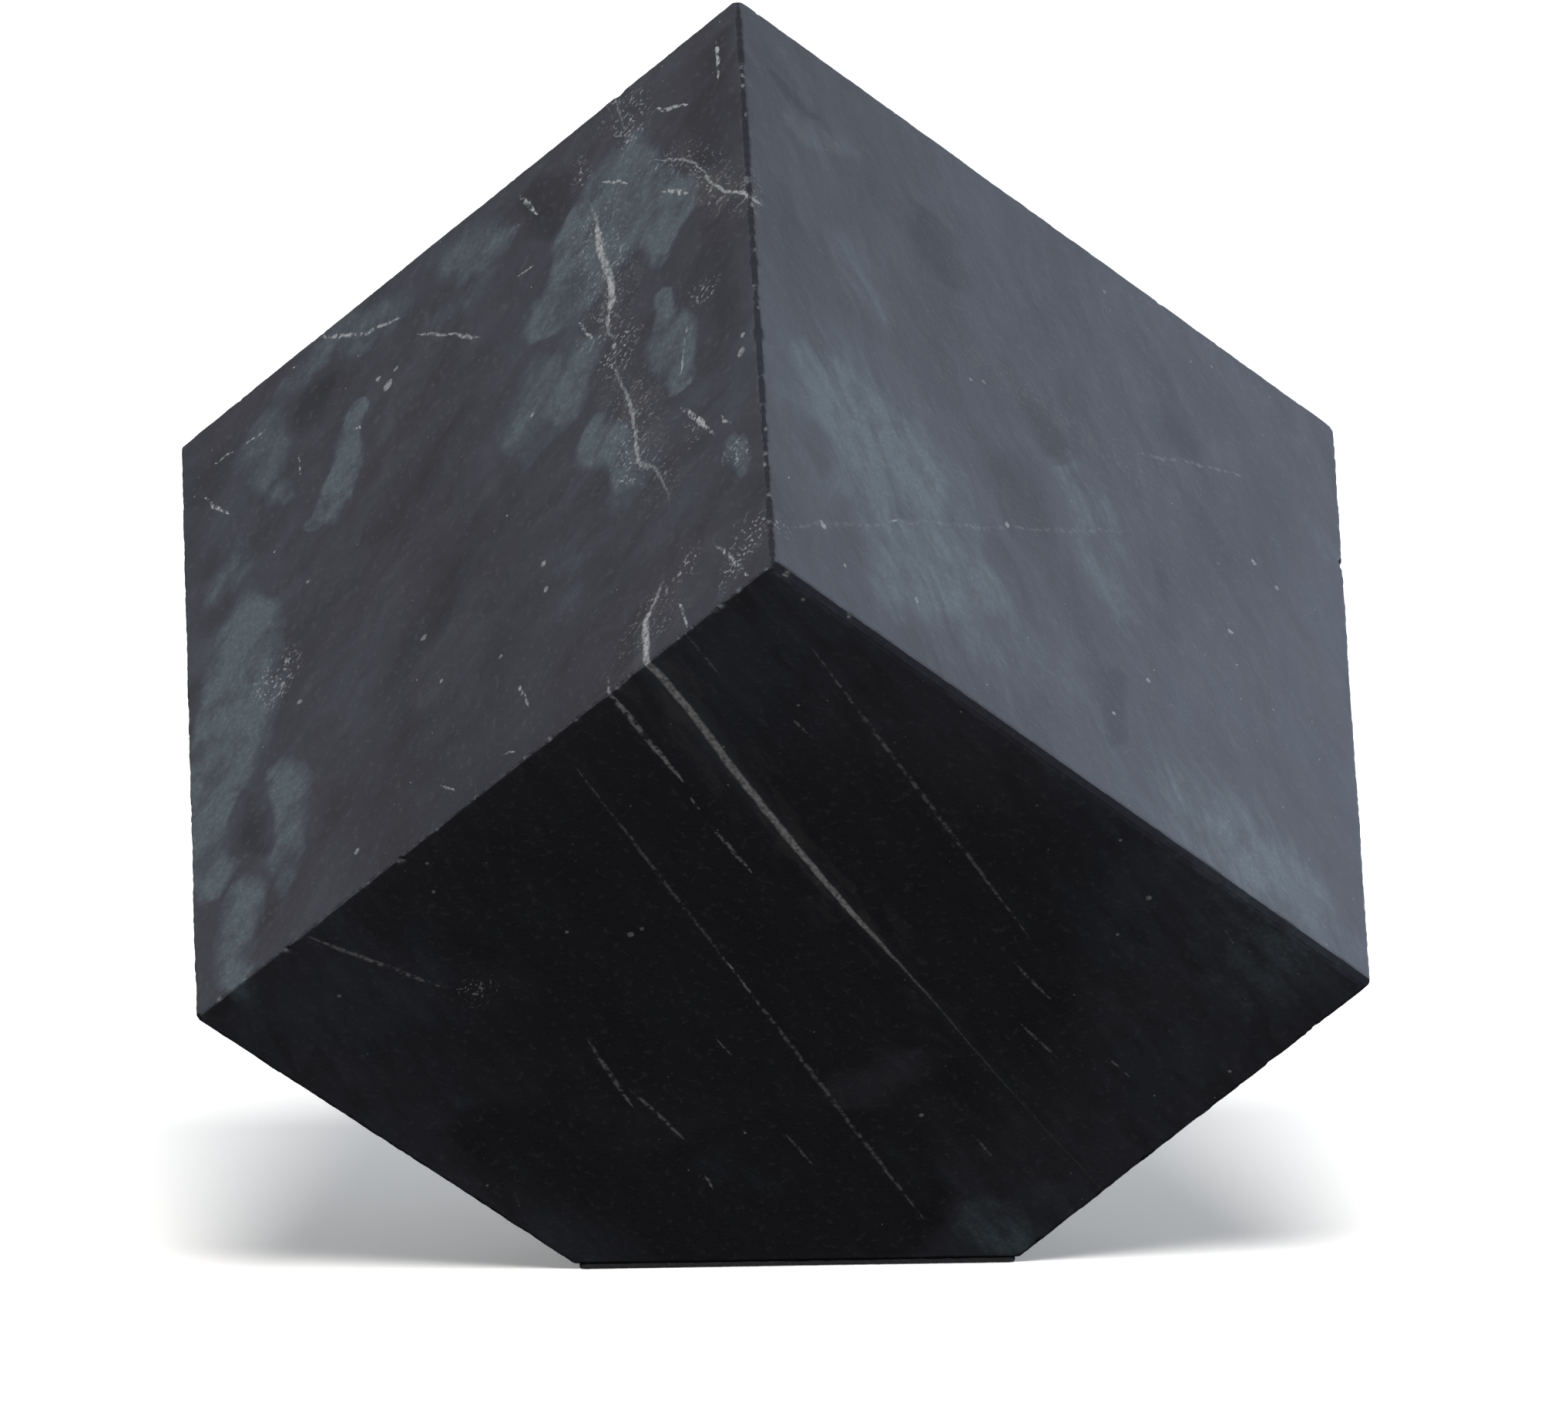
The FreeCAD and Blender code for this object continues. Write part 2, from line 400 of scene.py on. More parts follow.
def clip(outline, normal, offset):
    """The part of a flat outline that lies behind a plane."""
    kept = []
    for here, after in sides_of(outline):
        high_here = here @ normal - offset
        high_after = after @ normal - offset
        if high_here <= 0:
            kept.append(here)
        if (high_here < 0) != (high_after < 0):
            share = high_here / (high_here - high_after)
            kept.append(here + (after - here) * share)
    return kept


# Further out than any face reaches, in mm.
FAR_OUT = 400


def face_outline(index):
    normal, offset = planes[index]
    across = unit(np.cross(normal, (0.3, 0.5, 0.8)))
    along = np.cross(normal, across)
    centre = normal * offset
    turns = ((-1, -1), (1, -1), (1, 1), (-1, 1))
    outline = [centre + (across * a + along * b) * FAR_OUT for a, b in turns]
    for other, (cut_normal, cut_offset) in enumerate(planes):
        if other != index:
            outline = clip(outline, cut_normal, cut_offset)
    return outline, across, along


# How deep in from the rim each ring of points lies, in mm.
RINGS = (0.1, 0.24, 0.42, 0.65, 0.95, 1.4, 2.1, 3.2, 5.0, 8.0, 13.0, 21.0, 33.0)


def spacing(depth):
    return 0.22 + 0.42 * depth


def divide(start, end, step):
    """Points from start to just before end, about `step` apart."""
    parts = max(1, round(float(np.linalg.norm(end - start)) / step))
    return [start + (end - start) * part / parts for part in range(parts)]


# %% Fill the faces
points = []
rim_points = {}
triangles = []
block_edges = {}


def shared_rim(start, end, face):
    """Indices of the points along one edge, made once and used by both faces."""
    ends = [tuple(np.round(p, 3) + 0.0) for p in (start, end)]
    key = tuple(sorted(ends))
    if key not in rim_points:
        first, last = (start, end) if key[0] == ends[0] else (end, start)
        row = divide(first, last, spacing(0)) + [last]
        indices = []
        for number, point in enumerate(row):
            corner = tuple(np.round(point, 3) + 0.0) if number in (0, len(row) - 1) else None
            if corner is not None and corner in rim_points:
                indices.append(rim_points[corner])
                continue
            points.append(point)
            indices.append(len(points) - 1)
            if corner is not None:
                rim_points[corner] = len(points) - 1
        rim_points[key] = indices
        block_edges[key] = {"start": first, "end": last, "faces": []}
    block_edges[key]["faces"].append(face)
    indices = rim_points[key]
    return indices if key[0] == ends[0] else indices[::-1]


def fill_face(index):
    outline, across, along = face_outline(index)
    normal = planes[index][0]
    rim = []
    for start, end in sides_of(outline):
        rim += shared_rim(start, end, index)[:-1]
    used = list(rim)
    for depth in RINGS:
        inner = list(outline)
        for start, end in sides_of(outline):
            outward = unit(np.cross(end - start, normal))
            if outward @ (start - np.mean(outline, axis=0)) < 0:
                outward = -outward
            inner = clip(inner, outward, float(outward @ start) - depth)
            if len(inner) < 3:
                break
        if len(inner) < 3:
            break
        for start, end in sides_of(inner):
            for point in divide(start, end, spacing(depth)):
                points.append(point)
                used.append(len(points) - 1)
    flat = [Vector((float(points[i] @ across), float(points[i] @ along))) for i in used]
    rim_loop = [(number, (number + 1) % len(rim)) for number in range(len(rim))]
    _, _, made, origin, _, _ = delaunay_2d_cdt(flat, rim_loop, [], 1, 1e-7)
    for face in made:
        triangles.append([used[origin[corner][0]] for corner in face])
    return len(made)


for index, name in enumerate(PLANE_NAMES):
    print(name, "face:", fill_face(index), "triangles")
points = np.array(points)
print(len(points), "points,", len(triangles), "triangles,", len(block_edges), "edges")

# %% [markdown]
# ## Wearing the edges
#
# On the real block the edges are taken off by hand with a diamond pad: one lower edge has a clear flat about
# a millimetre wide, the others are only broken, and stone chips away in small shells along them. Each wear
# is a cut that the skin's points are pushed onto: a bevel plane whose width wanders, a ball that rounds each
# corner, and small shells bitten out of the edges. The random ones come from one seeded generator.

# %% Bevel every edge by a width that wanders
chance = np.random.default_rng(41)
# Width of the flat in mm, how far it wanders as a share of that, shells per mm, and how polished it is.
# The last column also paints the edge's flat near black, as painted shade for the dark it reflects.
EDGE_WEAR = {
    ("right", "under"): (0.76, 0.06, 0.05, 0.8),
    ("left", "right"): (0.50, 0.26, 0.32, 1.0),
    ("left", "under"): (0.22, 0.22, 0.40, 0.0),
    ("left", "top"): (0.28, 0.16, 0.10, 0.5),
    ("right", "top"): (0.26, 0.16, 0.10, 0.5),
}
HIDDEN_WEAR = (0.32, 0.22, 0.22, 0.6)
CUT_WEAR = (0.16, 0.15, 0.0, 0.6)
# An edge with no polish gets a paler lip along it.
PALE_LIP = 0.3
EDGE_REACH = 2.5
FLAT_BLEND = 0.05
arris = np.zeros(len(points))
chipped = np.zeros(len(points))


def wander(length, step, amount):
    """A random wave along an edge: knots every `step` mm, up to `amount` high."""
    knots = chance.uniform(-amount, amount, max(2, int(length / step) + 2))
    return lambda along: np.interp(along, np.arange(len(knots)) * step, knots)


def edge_depths(start, direction):
    """How far along the edge, and how far from its line, every point is."""
    along = (points - start) @ direction
    away = points - start - along[:, None] * direction
    return along, np.linalg.norm(away, axis=1)


for piece in block_edges.values():
    first, second = (PLANE_NAMES[face] for face in piece["faces"])
    pair = tuple(sorted((first, second), key=PLANE_NAMES.index))
    length = float(np.linalg.norm(piece["end"] - piece["start"]))
    direction = (piece["end"] - piece["start"]) / length
    normal_a, normal_b = (planes[face][0] for face in piece["faces"])
    bisector = unit(normal_a + normal_b)
    inward = np.cross(direction, normal_a)
    inward = inward if inward @ normal_b < 0 else -inward
    wear, share, shells, gloss = CUT_WEAR if "cut" in pair else EDGE_WEAR.get(pair, HIDDEN_WEAR)
    slow, quick, fine = (wander(length, step, wear * share) for step in (9.0, 2.2, 0.6))
    along, away = edge_depths(piece["start"], direction)
    near = away < EDGE_REACH
    width = wear + slow(along[near]) + quick(along[near]) + fine(along[near])
    excess = (points[near] - piece["start"]) @ bisector + width * abs(float(inward @ bisector))
    points[near] -= np.maximum(excess, 0)[:, None] * bisector
    flattened = np.clip(excess / FLAT_BLEND, 0, 1)
    arris[near] = np.maximum(arris[near], flattened * gloss)
    if gloss == 0:
        chipped[near] = np.maximum(chipped[near], flattened * PALE_LIP)
    piece.update(length=length, direction=direction, bisector=bisector, wear=wear, shells=shells)
print("bevelled", len(block_edges), "edges")


# %% Round the corners
def corner_normals(corner):
    """The outward directions of the faces that meet at a corner."""
    return [normal for normal, offset in planes if abs(corner @ normal - offset) < 0.01]


BASE_CORNER = 0.45
OTHER_CORNER = 1.35
CORNER_INSET = 3.0
CORNER_REACH = 4.2
# Corner polish also paints the rounded corners near black, as painted shade.
CORNER_POLISH = 0.6
corners = {tuple(np.round(p, 3)): p for e in block_edges.values() for p in (e["start"], e["end"])}
for corner in corners.values():
    normals = np.array(corner_normals(corner))
    on_cut = abs(corner[2] + level_cut[1]) < 0.01
    reach = BASE_CORNER if on_cut else OTHER_CORNER * chance.uniform(0.75, 1.15)
    centre = np.linalg.solve(normals, normals @ corner - CORNER_INSET)
    ball = 0.0
    extent = CORNER_REACH
    for piece in block_edges.values():
        for here, way in ((piece["start"], piece["direction"]), (piece["end"], -piece["direction"])):
            if np.linalg.norm(here - corner) < 0.01:
                ahead_of = float((centre - corner) @ way)
                beside = np.linalg.norm(centre - corner - ahead_of * way)
                ball = max(ball, math.hypot(beside, ahead_of - reach))
                extent = min(extent, ahead_of)
    offset_from = points - centre
    distance = np.linalg.norm(offset_from, axis=1)
    outside = (np.linalg.norm(points - corner, axis=1) < extent) & (distance > ball)
    points[outside] = centre + offset_from[outside] * (ball / distance[outside])[:, None]
    arris[outside] = np.maximum(arris[outside], CORNER_POLISH)
print("rounded", len(corners), "corners")


# %% Bite small shells out of the edges
SHELL_BLEND = 0.06


def bite(place, outward, radius, depth):
    """Pushes the skin inwards to a ball that stands `depth` deep in it."""
    ball = place + outward * (radius - depth)
    offset_from = points - ball
    distance = np.linalg.norm(offset_from, axis=1)
    inside = distance < radius
    points[inside] = ball + offset_from[inside] * (radius / np.maximum(distance[inside], 1e-6))[:, None]
    chipped[inside] = np.maximum(chipped[inside], np.clip((radius - distance[inside]) / SHELL_BLEND, 0, 1))


bitten = 0
for piece in block_edges.values():
    for _ in range(int(piece["length"] * piece["shells"])):
        along = chance.uniform(0.5, piece["length"] - 0.5)
        size = min(chance.lognormal(-0.85, 0.5), 1.8)
        lean = chance.normal(0, 0.45, 3)
        outward = piece["bisector"] + lean - piece["direction"] * (lean @ piece["direction"])
        outward = unit(outward)
        place = piece["start"] + piece["direction"] * along - piece["bisector"] * piece["wear"] * 0.6
        bite(place, outward, size, size * chance.uniform(0.1, 0.32))
        bitten += 1
print("bit", bitten, "shells out of the edges")

# %% Build the worn stone
stone_mesh = bpy.data.meshes.new("worn_marble_block")
stone_mesh.from_pydata([tuple(p) for p in points * MM], [], triangles)
stone_mesh.update()
stone_mesh.validate()
stone = bpy.data.objects.new("worn_marble_block", stone_mesh)
scene.collection.objects.link(stone)
if sum(t.area * t.normal.dot(t.center - Vector((0, 0, 0.08))) for t in stone_mesh.polygons) < 0:
    stone_mesh.flip_normals()
for polygon in stone_mesh.polygons:
    polygon.use_smooth = True
stone_mesh.set_sharp_from_angle(angle=math.radians(28))
for name, values in (("arris", arris), ("chip", chipped)):
    layer = stone_mesh.attributes.new(name, "FLOAT", "POINT")
    layer.data.foreach_set("value", values.astype(np.float32))
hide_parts("marble_block")
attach(stone, "root")
print("stone", [round(v * 1000, 1) for v in stone.dimensions], "mm")

# %% [markdown]
# ## Honed black marble
#
# Marble is coloured right through, so its finish is worked out in three dimensions and simply shows where
# the block was sawn. The place of a point is written along the block's own edges, in mm from the missing
# corner: X and Y run to the two side corners, Z to the one behind. A vein is a thin crooked sheet in that
# space, so it runs on over an edge without a break. Smoke-blue clouds, calcite flecks and short cracks are
# soft ovals, and noise gives the crystals.

# %% Places in the block
marble = Finish(bpy.data.materials.new("honed_black_marble"))
seen_from = marble.add("ShaderNodeTexCoord", {}, {}, out="Object")
block_turn = Matrix([list(map(float, axis)) for axis in axes])
block_shift = block_turn @ Vector(tuple(float(v) for v in tip)) * -1
place = marble.add(
    "ShaderNodeMapping",
    {"vector_type": "POINT"},
    {
        "Vector": seen_from,
        "Location": block_shift,
        "Rotation": block_turn.to_euler(),
        "Scale": (1 / MM, 1 / MM, 1 / MM),
    },
)


def shaken(origin, size, amount, detail=2):
    """The place moved about by noise, so that nothing laid out on it is straight."""
    push = marble.noise(origin, size, detail, out="Color")
    centred = marble.vector("SUBTRACT", push, (0.5, 0.5, 0.5))
    return marble.stretched(centred, (amount,) * 3, origin)


crooked = shaken(shaken(place, 9.0, 2.4), 1.2, 0.9, 3)
straight = shaken(place, 2.6, 0.45, 3)
smoky = shaken(shaken(shaken(place, 26.0, 13.0, 2), 9.0, 8.0, 3), 3.0, 1.6, 2)
grain = marble.noise(place, 0.55, 3, 0.6)
coarse = marble.noise(place, 5.0, 4, 0.6)
broad = marble.noise(place, 26.0, 3, 0.55)
print("block turned by", [round(math.degrees(a), 1) for a in block_turn.to_euler()])


# %% Soft spots, clouds and short cracks
FLAT_WAYS = {"left": 0, "right": 1, "under": 2}


def pressed(origin, face, share):
    """Places with the way into a face shortened, so that what is laid on it reaches deep."""
    scale = [1.0, 1.0, 1.0]
    scale[FLAT_WAYS[face]] = share
    return marble.vector("MULTIPLY", origin, tuple(scale))


def on_face(face, u, v, share):
    """A place on one of the three seen faces, from its two measures in mm."""
    if face == "left":
        return (float(edge[0]) * share, u, v)
    if face == "right":
        return (u, float(edge[1]) * share, v)
    return (u, v, 0)


def spot(where, centre, radius):
    """1 at a point, 0 at the radius."""
    away = marble.vector("DISTANCE", where, centre, out="Value")
    return marble.math("MULTIPLY_ADD", away, -1 / radius, 1).at_least(0)


def oval(where, start, end, half_width):
    """1 between two points and 0 on the oval round them: the two distances add up to the same all round."""
    long = math.dist(start, end)
    across = 2 * math.hypot(long / 2, half_width)
    from_ends = [marble.vector("DISTANCE", where, place_of, out="Value") for place_of in (start, end)]
    total = from_ends[0] + from_ends[1]
    return marble.math("MULTIPLY_ADD", total, -1 / (across - long), across / (across - long)).at_least(0)


def lay_ovals(table, where, depth, fill):
    """Adds up a table's ovals: u and v of both ends, half width and strength, face by face."""
    total = 0.0
    for face, rows in table.items():
        for u_start, v_start, u_end, v_end, half_width, strength in rows:
            ends = [on_face(face, u, v, depth) for u, v in ((u_start, v_start), (u_end, v_end))]
            laid = oval(where[face], *ends, half_width)
            total = marble.math("MULTIPLY_ADD", laid, strength * fill[face], total)
    return total


def lay_spots(table, where, depth, size, gain):
    """Adds up a table's spots: u, v and radius, face by face."""
    total = 0.0
    for face, rows in table.items():
        for u, v, radius in rows:
            laid = spot(where[face], on_face(face, u, v, depth), radius * size[face])
            total = marble.math("MULTIPLY_ADD", laid, gain, total)
    return total.kept_in_range()


def rows_in(table):
    return sum(len(rows) for rows in table.values())


HAZE_DEPTH = 0.5
SEAM_DEPTH = 0.1
smoky_on = {face: pressed(smoky, face, HAZE_DEPTH) for face in FLAT_WAYS}
seams_follow = {"left": crooked, "right": crooked, "under": straight}
crooked_on = {face: pressed(seams_follow[face], face, SEAM_DEPTH) for face in FLAT_WAYS}
print("faces drawn by hand:", list(FLAT_WAYS))

# %% Lay the clouds
# Both ends of the long axis, half width and strength, in mm in the block's own measures. A minus is a darker
# patch.
CLOUDS = {
    "left": [
        (68, 72, 80, 92, 11, 1.25), (65, 70, 69, 90, 4.5, 0.8), (82, 90, 86, 70, 8, 0.6),
        (60, 48, 68, 66, 7, 0.5), (18, 99, 42, 95, 6, 0.55), (44, 100, 60, 95, 6, 0.55),
        (36, 78, 60, 96, 5, 0.3), (14, 98, 17, 78, 6, 0.75), (34, 84, 21, 69, 4.2, 1.5),
        (4, 71, 11, 73, 5, 0.7), (8, 66, 4, 50, 6, 0.7), (11, 62, 7, 34, 9, 1.0), (10, 47, 5, 36, 4, 1.2),
        (1, 44, 4, 20, 7, 0.9), (15, 33, 18, 14, 6, 0.8), (7, 18, 5, 0, 5, 1.0),
        (13, 16, 15, 8, 3.5, 0.6), (84, 60, 87, 40, 4.5, 1.3), (73, 47, 77, 36, 5, 1.2),
        (65, 30, 66, 22, 5, 0.6), (44, 33, 46, 22, 5, 0.45), (95, 24, 95, 17, 2.2, 1.0),
        (84, 88, 84, 66, 6, 0.7), (70, 64, 68, 52, 5, 0.6), (78, 38, 74, 30, 6, 0.5),
        (62, 68, 58, 54, 5, 0.45), (30, 60, 52, 70, 7, -0.5), (62, 99, 66, 90, 5, -0.9),
        (20, 90, 28, 90, 4.5, -0.9), (7, 34, 13, 18, 4, -0.9), (96, 98, 94, 76, 7, -0.7),
        (92, 66, 97, 44, 5, -0.6), (48, 44, 34, 30, 6, -0.35),
    ],
    "right": [
        (93, 40, 50, 14, 28, 0.5), (36, 8, 8, 6, 18, 0.6), (93, 44, 78, 32, 12, 0.35),
        (84, 8, 66, 26, 10, 0.25), (48, 58, 40, 34, 8, 0.45), (88, 70, 80, 60, 8, 0.3),
        (98, 88, 82, 87.5, 3.5, 0.3), (71, 86, 67, 76, 5.5, -1.2), (99, 92.5, 88, 91.5, 1.8, -0.9),
        (54, 66, 50, 58, 6, -1.0), (31, 83, 25, 76, 5, -0.9), (26, 68, 20, 56, 6, -0.6),
        (31.5, 50, 32, 38, 2.5, -0.7), (44, 24, 46, 10, 3, -0.9), (60, 50, 52, 40, 7, -0.6),
        (16, 60, 8, 84, 8, -0.5), (64, 36, 56, 24, 4, -0.5),
    ],
    "under": [
        (33, 42, 33, 55, 6, 1.1), (0, 40, 12, 40, 5, 1.0), (22, 33, 23, 40, 4, 0.9),
        (70, 66, 96, 78, 6, 0.4), (96, 10, 78, 30, 8, 0.35), (24, 10, 64, 12, 12, -0.9),
        # Painted shade: the two broad minus ovals on the next row darken the underside, most near the base.
        (38, 16, 16, 38, 15, -2.0), (34, 70, 84, 40, 52, -1.5),
    ],
}
CLOUD_FILL = {"left": 1.5, "right": 1.9, "under": 1.3}
cloud = lay_ovals(CLOUDS, smoky_on, HAZE_DEPTH, CLOUD_FILL)
print(rows_in(CLOUDS), "clouds and shades")

# %% Draw the smoke out along the stone's sheets
# The stone was laid down in sheets, so its smoke is drawn out along them. These are square to the sheets:
# one set runs through the block, the other shows on the underside, where the veins lie.
SHEETS_IN_BLOCK = (0.873, 0.221, -0.436)
SHEETS_UNDER = (-0.245, 0.970, 0.0)
ALONG_SHEETS = 0.26


def scaled(way, amount):
    return marble.add("ShaderNodeVectorMath", {"operation": "SCALE"}, {0: way, "Scale": amount})


def drawn_out(origin, square_to):
    """Places squeezed along the stone's sheets, so that noise laid there comes out as streaks."""
    through = marble.vector("DOT_PRODUCT", origin, square_to, out="Value") * (1 - ALONG_SHEETS)
    return marble.stretched(origin, (ALONG_SHEETS,) * 3, scaled(square_to, through))


hidden_haze = marble.noise(place, 17.0, 4, 0.62).ramp(0.50, 0.70)
hidden_side = marble.vector("DOT_PRODUCT", place, (-0.9, -0.75, 0.62), out="Value").ramp(-70, 10)
left_in, right_in, height_in = marble.parts(place)
near_base = height_in.ramp(9, 0.5)
wavy = shaken(place, 14.0, 8.0)
through_block = drawn_out(wavy, SHEETS_IN_BLOCK)
other_way = marble.vector("SUBTRACT", drawn_out(place, SHEETS_UNDER), through_block)
flow = marble.vector("ADD", through_block, scaled(other_way, height_in.ramp(0.7, 0.1)))
streaks = marble.noise(flow, 5.5, 5, 0.55)
wisps = marble.noise(flow, 2.0, 4, 0.6)
dark_stone_and_painted_shade = (cloud * -1).ramp(0, 1.6)
cloud = cloud.ramp(0, 1.5, 0, 1.25) + hidden_haze * hidden_side
mottle = wisps.ramp(0.36, 0.64, 0.5, 1.15) * coarse.ramp(0.38, 0.60, 0.6, 1.15)
cloud = (cloud * mottle + (streaks - 0.52) * height_in.ramp(0.1, 3, 0.25, 0.8)).kept_in_range()
print("smoke drawn out to", round(1 / ALONG_SHEETS, 1), "times its width")


# %% Draw the veins as crooked sheets
def curve(signal, knots, low, high):
    """A smooth line through given knots: the signal runs over 110 mm, the result from low to high."""
    shares = [((at + 5) / 120, (value - low) / (high - low)) for at, value in knots]
    across = signal.ramp(-5, 115, shape="LINEAR")
    made = marble.add("ShaderNodeFloatCurve", {"points": shares}, {"Value": across})
    return made * (high - low) + low


eased = scaled(marble.vector("SUBTRACT", crooked, straight), 1 - near_base)
crooked_x, crooked_y, crooked_z = marble.parts(marble.vector("ADD", straight, eased))


def vein(across_x, up_z, strength_x, strength_z, half_width):
    """A sheet at Y = across_x(X) + up_z(Z), as wide and bright as the two strengths let it be."""
    middle = curve(crooked_x, across_x, -20, 120) + curve(crooked_z, up_z, -40, 40)
    presence = curve(crooked_x, strength_x, 0, 1) * curve(crooked_z, strength_z, 0, 1)
    broken = (coarse.ramp(0.30, 0.52, 0.35, 1.0) + near_base).at_most(1)
    reach = presence * broken * (half_width - near_base * half_width * 0.4) + 0.02
    gap = abs(crooked_y - middle)
    core = (1 - gap / reach).kept_in_range()
    halo = (1 - gap / (reach * 3 + 0.3)).kept_in_range() * presence
    beside = (1 - gap / (reach * 2 + 5)).kept_in_range() * presence.ramp(0.05, 0.5)
    return core.ramp(0, 0.6) * presence.ramp(0.0, 0.7), halo, beside


MAIN_X = [(0, 53.2), (20, 57.5), (40, 62.5), (60, 67), (80, 72.5), (98, 77.9), (102.5, 78.8), (110, 80)]
MAIN_Z = [
    (-3, 0.2), (1, -0.4), (3, -0.2), (6.6, 0.1), (10, 2.4), (17, 4.6), (24.4, 4.6), (28, 4.2),
    (31.6, 2.8), (35, 0.6), (38.7, 0.2), (48.7, -0.8), (54.4, -2.4), (59.8, -2.8), (62.3, -3.8),
    (67.3, -2.6), (74.4, -3.6), (80, -4.4), (89, -5.5), (103, -8), (110, -9),
]
MAIN_STRENGTH_X = [(0, 0.12), (30, 0.2), (42, 0.3), (50, 0.5), (60, 0.8), (80, 0.95), (103, 1), (110, 1)]
MAIN_STRENGTH_Z = [
    (-3, 1), (3, 0.95), (8, 0.6), (11, 0.35), (14, 0.04), (21, 0.05), (25, 0.18), (32, 0.32), (38, 0.42),
    (48, 0.36), (54, 0.22), (58, 0.14), (62, 0.34), (68, 0.72), (78, 0.70), (84, 0.38), (89, 0.1),
    (93, 0), (110, 0.4),
]
veins = [vein(MAIN_X, MAIN_Z, MAIN_STRENGTH_X, MAIN_STRENGTH_Z, 1.1)]
print("main vein laid")

# %% The vein that crosses the front edge
UPPER_X = [(0, 62), (96, 70), (103, 70), (110, 70)]
UPPER_Z = [
    (0, 34), (55, 34), (67.3, 29.3), (70.1, 26.4), (73.7, 23.9), (78.4, 22.1), (82.3, 19.3), (90, 12),
    (110, 8),
]
UPPER_STRENGTH_X = [(0, 0.4), (60, 0.3), (90, 0), (98.5, 0), (101.5, 0.7), (110, 0.9)]
UPPER_STRENGTH_Z = [
    (0, 0), (62, 0), (66, 0.8), (72, 0.7), (80, 0.6), (86, 0.45), (90, 0), (100, 0.4), (110, 0.4),
]
veins.append(vein(UPPER_X, UPPER_Z, UPPER_STRENGTH_X, UPPER_STRENGTH_Z, 0.7))
white = halo = near_veins = 0.0
for core, glow, beside in veins:
    white = core + white
    halo = glow + halo
    near_veins = beside + near_veins
print(len(veins), "veins as sheets")

# %% Veins through the rest of the block
# A vein wherever a broad noise crosses its middle value, faded out short of the three faces whose marks are
# listed.
inside = left_in.ramp(101.5, 94) * right_in.ramp(99, 92) * height_in.ramp(1, 7)
wander_of = marble.noise(drawn_out(crooked, SHEETS_IN_BLOCK), 21.0, 2, 0.5)
thin = coarse.ramp(0.35, 0.65, 0.003, 0.011)
rest_veins = (1 - abs(wander_of - 0.5) / thin).kept_in_range() * broad.ramp(0.36, 0.60) * inside
print("veins laid through the rest of the block")

# %% Short cracks filled with calcite
# Both ends, half width and strength, in mm.
CRACKS = {
    "left": [
        (85.7, 79.8, 90, 74.4, 0.35, 1.0), (75.7, 89.4, 79.6, 85.5, 0.35, 1.0),
        (85.7, 95.1, 90.7, 90.9, 0.35, 1.1), (61.4, 99.4, 64.3, 93.4, 0.4, 1.0),
        (25.4, 102.6, 33.5, 97, 0.4, 0.9), (32.0, 97.4, 40.5, 94.4, 0.4, 0.9),
        (42.9, 89.3, 48.0, 84.6, 0.35, 0.7), (47.0, 85.4, 53.2, 79.2, 0.35, 0.7),
        (4.6, 90.5, 8.6, 84.4, 0.4, 1.2), (7.1, 94.8, 10, 94.6, 0.25, 1.0),
        (12.5, 94.3, 15.4, 94.1, 0.25, 1.0), (21.4, 84.4, 21.6, 80.9, 0.25, 0.9),
        (31.2, 81.8, 32.9, 80.4, 0.3, 0.9), (60.4, 84.6, 63.2, 84.8, 0.25, 1.0),
        (88.2, 52.3, 86.4, 44.4, 0.3, 0.8), (96.1, 98.9, 96.4, 91.4, 0.35, 1.3),
        (70.7, 68, 72.9, 63, 0.3, 0.8), (90.7, 11.4, 96.6, 0.2, 0.4, 0.8),
        (84.3, 5.3, 85.6, 0.4, 0.35, 1.0), (57.1, 13.4, 58.9, 8, 0.35, 0.9),
        (42.9, 6.9, 45.4, 4.1, 0.25, 0.9), (53.2, 4.1, 55.7, 3, 0.25, 0.9),
        (86.4, 38.7, 92.1, 30.1, 0.45, 1.0), (93.2, 32.3, 95, 29.4, 0.35, 0.9),
    ],
    "right": [
        (98.6, 9.0, 79.6, 24.4, 0.5, 0.36), (81.5, 23.0, 62.0, 36.5, 0.5, 0.36),
        (62.5, 35.8, 39.0, 53.0, 0.5, 0.34), (66.8, 28.5, 68.2, 14.0, 0.4, 0.26),
        (35.8, 69.0, 27.5, 74.8, 0.4, 0.42), (29.5, 74.0, 15.8, 80.0, 0.4, 0.42),
    ],
    "under": [
        (104, 72.3, 85.5, 67.3, 0.55, 1.3), (83.2, 66.0, 81.0, 65.4, 0.3, 1.0),
        (78.2, 64.4, 69.0, 62.1, 0.4, 1.1), (97.0, 60.4, 55.0, 47.6, 0.4, 0.7),
        (62.0, 49.8, 13.0, 34.6, 0.45, 0.8), (90.0, 93.6, 37.0, 77.2, 0.45, 0.75),
        (83.2, 83.6, 80, 83.1, 0.3, 0.9), (103, 85.2, 95, 83, 0.3, 0.8),
        (35.4, 72.9, 27.5, 71.4, 0.35, 0.8), (27.5, 66.1, 20, 65, 0.35, 0.8),
        (15.4, 69.3, 11.4, 68.7, 0.3, 0.8), (18.9, 48.9, 14.6, 47.9, 0.3, 0.8),
        (20, 93.9, 17.5, 93, 0.25, 0.8), (53.2, 39.4, 49.6, 38.6, 0.25, 0.8),
        (35.7, 33.6, 29.6, 32.1, 0.3, 0.8), (64.5, 28.7, 52.7, 24.3, 0.45, 0.9),
        (55.6, 26.4, 43.7, 24.6, 0.4, 0.9), (38.4, 22.2, 35.9, 21.0, 0.35, 1.0),
        (102, 18.4, 83.5, 23.4, 0.5, 0.9),
    ],
}
CRACK_FILL = {"left": 1.0, "right": 0.9, "under": 0.6}
